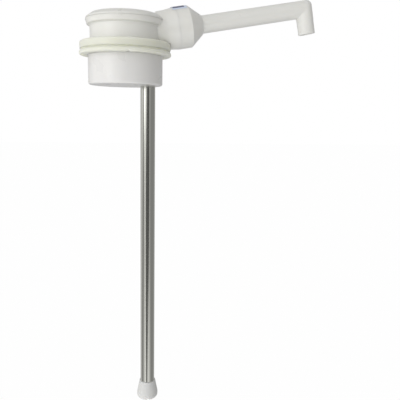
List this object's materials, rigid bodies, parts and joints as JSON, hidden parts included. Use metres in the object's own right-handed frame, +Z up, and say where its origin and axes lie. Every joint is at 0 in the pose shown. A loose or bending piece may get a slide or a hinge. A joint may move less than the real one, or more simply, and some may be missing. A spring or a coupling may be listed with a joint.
{
  "type": "rotary hand transfer pump",
  "caption": "Hand-cranked transfer pump with a round head and neck ring, off-centre steel suction tube with a ball foot, and a swivelling side spout.",
  "frame": {"origin": "on the head's axis, level with the flat underside of the neck ring, which sits on the container's neck", "axes": "+Z up along the head's axis, +X towards the spout, +Y completes the right-handed frame"},
  "size_m": [0.2623, 0.097, 0.4634],
  "materials": {
    "white_gloss": "moulded, semi-gloss",
    "ring_elastomer": "natural translucent elastomer, satin",
    "acetal": "machined",
    "steel_hardware": "turned",
    "tube_steel": "drawn and polished",
    "seal_rubber": "moulded",
    "foot_plastic": "moulded, satin",
    "label_blue": "printed film"
  },
  "bodies": {
    "pump_head": {"spigot_cup": "white_gloss", "head_shell": "white_gloss", "neck_ring": "ring_elastomer", "gear_body": "acetal", "port_plate": "acetal", "port_plate_screws": "steel_hardware", "idler_pin": "steel_hardware", "lower_bush": "acetal", "top_cover": "white_gloss", "cover_gasket": "seal_rubber", "upper_bush": "acetal", "shaft_seal": "seal_rubber", "top_cover_screws": "steel_hardware", "suction_tube": "tube_steel", "tube_nut": "acetal", "tube_seal": "seal_rubber", "foot": "foot_plastic", "ball_cage": "acetal", "outlet_housing": "white_gloss", "housing_seal": "seal_rubber", "valve_seat": "acetal", "valve_guide": "acetal", "valve_spring": "steel_hardware", "colour_label": "label_blue"},
    "crank": {"crank_disc": "white_gloss", "hub_screw": "steel_hardware", "knob_pin": "steel_hardware", "drive_shaft": "steel_hardware", "drive_gear": "acetal", "gear_key": "steel_hardware"},
    "idler": {"idler_gear": "acetal"},
    "knob": {"finger_knob": "white_gloss"},
    "spout_arm": {"spout": "white_gloss", "spout_seal": "seal_rubber", "spout_clip": "steel_hardware"},
    "outlet_valve": {"valve_poppet": "acetal"},
    "foot_valve": {"foot_ball": "steel_hardware"}
  },
  "joints": [
    {"name": "crank_turn", "type": "hinge", "parent": "pump_head", "child": "crank", "pos_m": [0, 0, 0.03], "axis": [0, 0, 1], "continuous": true},
    {"name": "idler_turn", "type": "hinge", "parent": "pump_head", "child": "idler", "pos_m": [-0.02, 0, -0.0116], "axis": [0, 0, 1], "continuous": true},
    {"name": "knob_spin", "type": "hinge", "parent": "crank", "child": "knob", "pos_m": [0, 0.018, 0.04], "axis": [0, 0, 1], "continuous": true},
    {"name": "spout_swivel", "type": "hinge", "parent": "pump_head", "child": "spout_arm", "pos_m": [0.07362, 0, 0.03497], "axis": [0.9816, 0, 0.1908], "range_deg": [-90, 90]},
    {"name": "outlet_valve_lift", "type": "slide", "parent": "pump_head", "child": "outlet_valve", "axis": [0.9816, 0, 0.1908], "range_m": [0, 0.0025], "stiffness_N_per_m": 60, "springref_m": -0.003, "deforming": ["valve_spring"]},
    {"name": "foot_valve_lift", "type": "slide", "parent": "pump_head", "child": "foot_valve", "axis": [0, 0, 1], "range_m": [0, 0.003]}
  ],
  "couplings": [
    {"joint": "idler_turn", "follows": "crank_turn", "ratio": -1}
  ]
}
